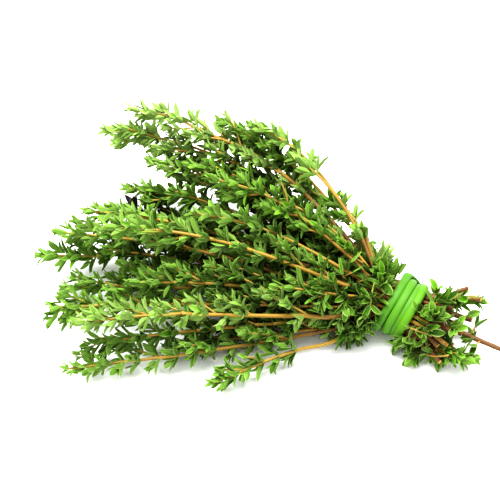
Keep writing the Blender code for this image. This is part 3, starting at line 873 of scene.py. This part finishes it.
def branchesOf(line, seed, taken, apart):
    # side branches, each from its tip to its root, turned to where there is most room
    branches = []
    draw = random.Random(branch["seed"] + seed)
    place = branch["first"] + vary(draw, branch["firstVary"])
    total = lengthsAlong(line)[-1]
    while place < total - branch["bareEnd"]:
        root, forward = placeOn(line, place)
        length = min(draw.uniform(*branch["length"]), place * branch["longest"])
        lean = math.radians(draw.uniform(*branch["lean"]))
        level, _ = placeOn(line, max(0, place - length * 0.9))
        place += branch["spacing"] * draw.uniform(*branch["spacings"]) * apart
        best = None
        for step in range(branch["directions"]):
            turn = step * 2 * math.pi / branch["directions"]
            reach = leant(forward, sideOf(forward, turn), lean)
            middle = root + reach * length * 0.55
            tip = root + reach * length * 0.85 + forward * length * 0.15
            offTie = min(abs(p.x - tie["x"]) for p in (tip, middle, root))
            if offTie < branch["nearTie"] or tip.z < branch["lowest"]:
                continue
            near = taken[np.abs(taken[:, 0] - tip.x) < branch["slice"]]
            heart = near.mean(axis=0) if len(near) else np.array(tip)
            outermost = max(branch["inside"], np.linalg.norm(heart - np.array(level)) + 1)
            out = np.linalg.norm(heart - np.array(tip))
            if out > outermost:
                continue
            gaps = [np.linalg.norm(taken - np.array(p), axis=1).min() for p in (middle, tip)]
            score = min(gaps[0] * 2, gaps[1], branch["gapMost"]) - branch["inward"] * out
            if gaps[0] > branch["gapLeast"] and (best is None or score > best[0]):
                best = (score, [tip, middle, root])
        if best:
            branches.append(best[1])
            taken = np.concatenate([taken, np.array(rounded(best[1])[:-3])])
    return branches, taken


def collarOf(line, seed, taken):
    # shoots on a stem where it runs at the outside of the bunch, near the band
    shoots = []
    draw = random.Random(collar["seed"] + seed)
    place, total = draw.uniform(0, collar["spacing"]), lengthsAlong(line)[-1]
    while place < total - collar["bareEnd"]:
        root, forward = placeOn(line, place)
        place += collar["spacing"] * draw.uniform(*collar["spacings"])
        length = draw.uniform(*collar["length"])
        lean = math.radians(draw.uniform(*collar["lean"]))
        offset = root.x - tie["x"]
        if besideBand(root) < collar["besideBand"] or abs(offset) > collar["to"]:
            continue
        away = forward if (forward.x > 0) == (offset > 0) else -forward
        near = taken[np.abs(taken[:, 0] - root.x) < collar["slice"]]
        heart = near.mean(axis=0)
        outward = root - Vector(heart)
        outward -= away * outward.dot(away)
        most = np.linalg.norm((near - heart)[:, 1:], axis=1).max()
        if outward.length < collar["outermost"] * most:
            continue
        twist = Matrix.Rotation(vary(draw, collar["twist"]), 3, away)
        reach = leant(away, (twist @ outward).normalized(), lean)
        tip = root + reach * length
        spread = math.hypot(tip.y - heart[1], tip.z - heart[2])
        room = collar["roomRight"]
        if offset < 0:
            room = collar["roomLeft"] + collar["roomGrowth"] * abs(offset)
        isBeside = besideBand(tip) > collar["besideBand"]
        if tip.z > collar["lowest"] and spread < room and isBeside:
            shoots.append([tip, root + reach * length * 0.5 + outward.normalized(), root])
    return shoots


# common thyme leaf: small, firm and slightly glossy above, with a paler, duller underside, a
# pale margin where it rolls under, and oil glands that show as a fine mottle
leafLook = {
    "old": "#1b3e09", "grown": "#60951f", "young": "#6f9c32", "margin": "#b2c57c",
    "rib": "#829c40", "underside": "#66803e", "powderAndLight": "#b2c480", "nearBlackTip": "#3b3832",
    "gland": 0.7,
}


def leafMaterial():
    mat, tree, shader = newMaterial("thymeLeaf")
    coord = addNode(tree, "TexCoord")
    shade, youth, under, bloomAndLight, nearBlack, deep = (
        addNode(tree, "Attribute", {"attribute_name": name}).outputs["Fac"]
        for name in ("shade", "youth", "under", "bloomAndLight", "nearBlack", "deep"))
    uv = addNode(tree, "UVMap", {"uv_map": "leafUv"})
    split = addNode(tree, "SeparateXYZ", links={"Vector": uv.outputs["UV"]})
    across = addNode(tree, "Math", {"operation": "SUBTRACT"}, {1: 0.5},
                     {0: split.outputs["Y"]})
    fromRib = addNode(tree, "Math", {"operation": "ABSOLUTE"},
                      links={0: across.outputs[0]})
    margin, rib = (
        addNode(tree, "MapRange", {"interpolation_type": "SMOOTHSTEP"},
                {"From Min": start, "From Max": end, "To Min": low, "To Max": high},
                {"Value": fromRib.outputs[0]}).outputs["Result"]
        for start, end, low, high in ((0.32, 0.46, 0.0, 0.62), (0.0, 0.07, 0.35, 0.0)))
    # the duller underside, and the pale colour that is partly the leaf's own bloom and partly
    # painted light
    dull, powderAndLight = (
        addNode(tree, "Math", {"operation": "MULTIPLY"}, {1: most},
                {0: share}).outputs[0]
        for share, most in ((under, 0.55), (bloomAndLight, 0.6)))
    # each colour covers those before it by its share
    # the shade runs from old to grown green and holds the leaf's own tone and the painted shade
    # and light of its sprig
    colour = addNode(tree, "Mix", {"data_type": "RGBA"},
                     {"A": toLinear(leafLook["old"]), "B": toLinear(leafLook["grown"])},
                     {"Factor": shade})
    for name, share in (("young", youth), ("margin", margin), ("rib", rib), ("underside", dull),
                        ("powderAndLight", powderAndLight), ("nearBlackTip", nearBlack)):
        colour = addNode(tree, "Mix", {"data_type": "RGBA"},
                         {"B": toLinear(leafLook[name])},
                         {"Factor": share, "A": colour.outputs["Result"]})
    # painted shade, darker deep in the bunch, and mottled by the glands
    glands = addNode(tree, "TexNoise",
                     inputs={"Scale": 1 / (leafLook["gland"] * mm), "Detail": 2},
                     links={"Vector": coord.outputs["Object"]})
    for value, low, high in ((deep, 1.08, 0.2), (glands.outputs["Fac"], 0.8, 1.2)):
        dim = addNode(tree, "MapRange", inputs={"To Min": low, "To Max": high},
                      links={"Value": value})
        colour = addNode(tree, "Mix", {"data_type": "RGBA", "blend_type": "MULTIPLY"},
                         {"Factor": 1.0},
                         {"A": colour.outputs["Result"], "B": dim.outputs["Result"]})
    gloss = addNode(tree, "MapRange", inputs={"To Min": 0.45, "To Max": 0.7},
                    links={"Value": under})
    bump = addNode(tree, "Bump", inputs={"Strength": 0.25, "Distance": 0.08 * mm},
                   links={"Height": glands.outputs["Fac"]})
    tree.links.new(colour.outputs["Result"], shader.inputs["Base Color"])
    tree.links.new(gloss.outputs["Result"], shader.inputs["Roughness"])
    tree.links.new(bump.outputs["Normal"], shader.inputs["Normal"])
    shader.inputs["IOR"].default_value = 1.42
    shader.inputs["Specular IOR Level"].default_value = 0.15
    return mat


def buildLeaves(name, leaves, mat):
    bm = bmesh.new()
    counts = []
    for mesh, matrix, *_ in leaves:
        copy = mesh.copy()
        copy.transform(matrix)
        below = min(v.co.z for v in copy.vertices)
        if below < 0:  # lifted onto the table
            copy.transform(Matrix.Translation((0, 0, -below)))
        bm.from_mesh(copy)
        counts.append(len(copy.vertices))
        bpy.data.meshes.remove(copy)
    piece = finishPiece(name, bm, mat)
    for column, label in enumerate(("shade", "youth", "bloomAndLight", "nearBlack", "deep"), 2):
        values = [leaf[column] for leaf in leaves]
        layer = piece.data.attributes.new(label, "FLOAT", "POINT")
        layer.data.foreach_set("value", np.repeat(values, counts).astype(np.float32))
    return piece


def shootLine(points, shoot):
    # a side shoot from its tip to its root
    place, turn, length = shoot
    root, forward = placeOn(points, place)
    outward = Matrix.Rotation(math.radians(turn), 3, forward) @ Vector((0, 0, 1))
    outward = (outward - forward * outward.dot(forward)).normalized()
    reach = forward * stem["shootAhead"] + outward * stem["shootAside"]
    bend = root + reach * length * 0.5 + outward * length * stem["shootBend"]
    return [root + reach * length, bend, root]


def stemTree(skip):
    # every stem but one, and the band, to keep leaves clear of
    points, faces = [], []
    for k, piece in enumerate([*stemPieces, bandPiece]):
        if k != skip:
            start = len(points)
            points += [v.co for v in piece.data.vertices]
            faces += [[start + i for i in p.vertices] for p in piece.data.polygons]
    return BVHTree.FromPolygons(points, faces)


def thinRadii(line, tipRadius):
    # a shoot thickens a little from its tip to its root
    return [tipRadius + stem["thickening"] * k for k in range(len(line))]


bark = stemMaterial()
cutWood = cutMaterial()
green = leafMaterial()
smoothLines = [rounded(line) for line in stemLines]
taken = np.array([p for line in smoothLines for p in line])
branchLines, collarLines = [], []
for i, (name, line) in enumerate(zip(sprigs, smoothLines)):
    branches, taken = branchesOf(line, i, taken, spacious.get(name, 1.0))
    lost = worn.get(name, 0)
    branchLines.append([rounded(b) for k, b in enumerate(branches)
                        if not isWorn(b[-1], lost, 500 + 20 * i + k)])
    shoots = collarOf(line, i, taken) if lost <= collar["wornMost"] else []
    for root, tip in placed.get(name, ()):
        root, tip = Vector(root) + tieMiddle, Vector(tip) + tieMiddle
        shoots.append([tip, root.lerp(tip, 0.5) + Vector((0, 0, 0.5)), root])
    collarLines.append([rounded(shoot) for shoot in shoots])

stemPieces = []
for i, (name, sprig) in enumerate(sprigs.items()):
    bm = bmesh.new()
    bm.verts.layers.float.new("fromTip")
    bm.verts.layers.float.new("tint")
    line = smoothLines[i]
    draw = random.Random(i)
    lengths = lengthsAlong(line)
    joints = [d for _, d in pairsOf(lengths[-1])]
    thick = draw.uniform(*stem["thickness"])
    tint = draw.random() * stem["tintRange"]
    buildStem(bm, line, [stemRadius(d) * thick for d in lengths], joints, tint, cut=True,
              older=browner.get(name, 0))
    for shoot in sprig[3]:
        side = rounded(shootLine(stemLines[i], shoot))
        buildStem(bm, side, thinRadii(side, stem["shootRadius"]), [], tint)
    for side in branchLines[i] + collarLines[i]:
        buildStem(bm, side, thinRadii(side, stem["branchRadius"]), [], tint)
    if name == curled["sprig"]:
        side = [Vector(p) + tieMiddle for p in curled["line"]]
        side = rounded(side + [min(line, key=lambda p: (p - side[-1]).length)])
        thin, thick = curled["radius"]
        radii = [thin + (thick - thin) * k / len(side) for k in range(len(side))]
        buildStem(bm, side, radii, [], 0.0, older=curled["older"])
    bmesh.ops.recalc_face_normals(bm, faces=bm.faces)
    piece = finishPiece(name + "_stem", bm, bark)
    piece.data.materials.append(cutWood)
    stemPieces.append(piece)
print("stems built:", sum(len(piece.data.polygons) for piece in stemPieces), "faces, with",
      sum(len(b) for b in branchLines), "branches")


def leafTowards(root, tip, wide):
    # a leaf laid from one point to another with its upper side to the front and up
    along = Vector(tip) - Vector(root)
    size = along.length
    along.normalize()
    across = Vector(curled["facing"]).cross(along).normalized()
    at = Matrix.Translation((Vector(root) + tieMiddle) * mm)
    return (at @ standing(along, across, along.cross(across))
            @ Matrix.Diagonal((size * mm, size * wide * mm, size * mm, 1)))


# each shoot's leaves have seeds of their own: side shoots from 100, branches from 500 and the
# short shoots near the band from 2000
allLeaves = []
for i, (name, sprig) in enumerate(sprigs.items()):
    others = stemTree(i)
    broad = broadLeaves if sprig[0][0] > 0 else largeLeaves
    pairs = 3 if spacious.get(name, 1) < leafRule["fullBelow"] else 2
    leaves = growLeaves(smoothLines[i], i, others, tuftPairs=pairs, shapes=broad,
                        lost=worn.get(name, 0))
    for k, shoot in enumerate(sprig[3]):
        leaves += growLeaves(shootLine(stemLines[i], shoot)[:-1], 100 + 10 * i + k, others,
                             leafRule["shootScale"])
    for k, side in enumerate(branchLines[i]):
        leaves += growLeaves(side, 500 + 20 * i + k, others, branch["scale"], pairs,
                             fresh=branch["fresh"])
    for k, side in enumerate(collarLines[i]):
        shapes = broadLeaves if side[0].x > tie["x"] else largeLeaves
        leaves += growLeaves(side, 2000 + 20 * i + k, others, collar["scale"], 1, 1, shapes,
                             collar["fresh"])
    if name == curled["sprig"]:
        leaves += [(largeLeaves[k % 2], leafTowards(root, tip, wide), *curled["leafAge"])
                   for k, (root, tip, wide) in enumerate(curled["leaves"])]
    allLeaves.append(leaves)

# leaves with others all round them lie inside the bunch, and get painted shade there
crowding = {"reach": 12.0, "every": 6, "few": 9, "many": 40, "open": 0.47}
crowd = np.array([leaf[1].translation for leaves in allLeaves for leaf in leaves]) / mm
crowd = crowd[::crowding["every"]]


def depthOf(leaves):
    depths = []
    for leaf in leaves:
        gaps = crowd - np.array(leaf[1].translation) / mm
        near = gaps[(gaps ** 2).sum(axis=1) < crowding["reach"] ** 2]
        oneSided = np.linalg.norm(near.mean(axis=0)) / crowding["reach"] if len(near) else 1
        full = (len(near) - crowding["few"]) / (crowding["many"] - crowding["few"])
        depths.append(max(0, min(1, full)) * max(0, 1 - oneSided / crowding["open"]))
    return depths


def paintSprigShade(shade, youth, dark):
    # painted shade and light of a sprig: its leaves are darker, more alike and less young where
    # it lies low in the bunch, and brighter where it lies at the top and back
    shade = shade * (1 - leafRule["alike"] * dark) - dark
    return min(1, max(0, shade)), youth * min(1, 1 - dark)


for i, name in enumerate(sprigs):
    dark, bloomAndLight = paintedSprigShade.get(name, 0), paleBloomAndLight.get(name, 0)
    tip, nearBlack = smoothLines[i][0] * mm, nearBlackTip.get(name, 0) * mm
    leaves = [(mesh, at, *paintSprigShade(shade, youth, dark), bloomAndLight,
               float((at.translation - tip).length < nearBlack), deep)
              for (mesh, at, shade, youth), deep in zip(allLeaves[i], depthOf(allLeaves[i]))]
    piece = buildLeaves(name + "_leaves", leaves, green)
    for part, slotName in ((stemPieces[i], "thyme_stem"), (piece, "thyme_leaf")):
        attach(part, "root")
        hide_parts(name)
print("leaves built:", sum(len(leaves) for leaves in allLeaves))


# floor, lights and camera, in metres, with the height that the camera looks at in millimetres
studio = {
    "floorHalf": 3.0, "floor": "#ffffff", "floorRoughness": 0.6, "room": "#ffffff", "fill": 0.95,
    "azimuth": 17, "elevation": 50, "distance": 1.18, "lens": 200,
    "height": 12.5, "right": 0.0646, "up": 0.0238,
    # a large softbox above and behind, and a weaker one in front, with place, size and power
    "softboxBack": ((-0.15, 0.3, 1.1), 0.9, 27.0), "softboxFront": ((-0.6, -0.7, 0.9), 0.7, 3.0),
}


def buildStudio():
    bm = bmesh.new()
    bmesh.ops.create_grid(bm, x_segments=1, y_segments=1, size=studio["floorHalf"])
    # painted table top: white and matt
    mat, tree, shader = newMaterial("paintedTable")
    shader.inputs["Base Color"].default_value = toLinear(studio["floor"])
    shader.inputs["Roughness"].default_value = studio["floorRoughness"]
    floor = finishPiece("floor", bm, mat, smooth=False)

    world = bpy.data.worlds.new("softRoom")
    world.use_nodes = True
    background = world.node_tree.nodes["Background"]
    background.inputs["Color"].default_value = toLinear(studio["room"])
    background.inputs["Strength"].default_value = studio["fill"]
    bpy.context.scene.world = world

    for name in ("softboxBack", "softboxFront"):
        place, size, power = studio[name]
        light = bpy.data.lights.new(name, "AREA")
        light.size = size
        light.energy = power
        lamp = bpy.data.objects.new(name, light)
        lamp.location = place
        lamp.rotation_euler = (-Vector(place)).to_track_quat("-Z", "Y").to_euler()
        bpy.context.collection.objects.link(lamp)

    a, e = math.radians(studio["azimuth"]), math.radians(studio["elevation"])
    back = Vector((math.sin(a) * math.cos(e), -math.cos(a) * math.cos(e), math.sin(e)))
    right = Vector((math.cos(a), math.sin(a), 0))
    up = back.cross(right)
    middle = (tieMiddle + Vector((0, 0, studio["height"]))) * mm
    aim = middle - right * studio["right"] + up * studio["up"]
    data = bpy.data.cameras.new("camera")
    data.lens = studio["lens"]
    data.clip_start = 0.01
    camera = bpy.data.objects.new("camera", data)
    camera.matrix_world = (Matrix.Translation(aim + back * studio["distance"])
                           @ Matrix((right, up, back)).transposed().to_4x4())
    bpy.context.collection.objects.link(camera)
    bpy.context.scene.camera = camera
    bpy.context.scene.view_settings.view_transform = "Standard"
    bpy.context.scene.view_settings.look = "High Contrast"


buildStudio()
print("studio built")

for mesh in largeLeaves + broadLeaves + smallLeaves:
    bpy.data.meshes.remove(mesh)
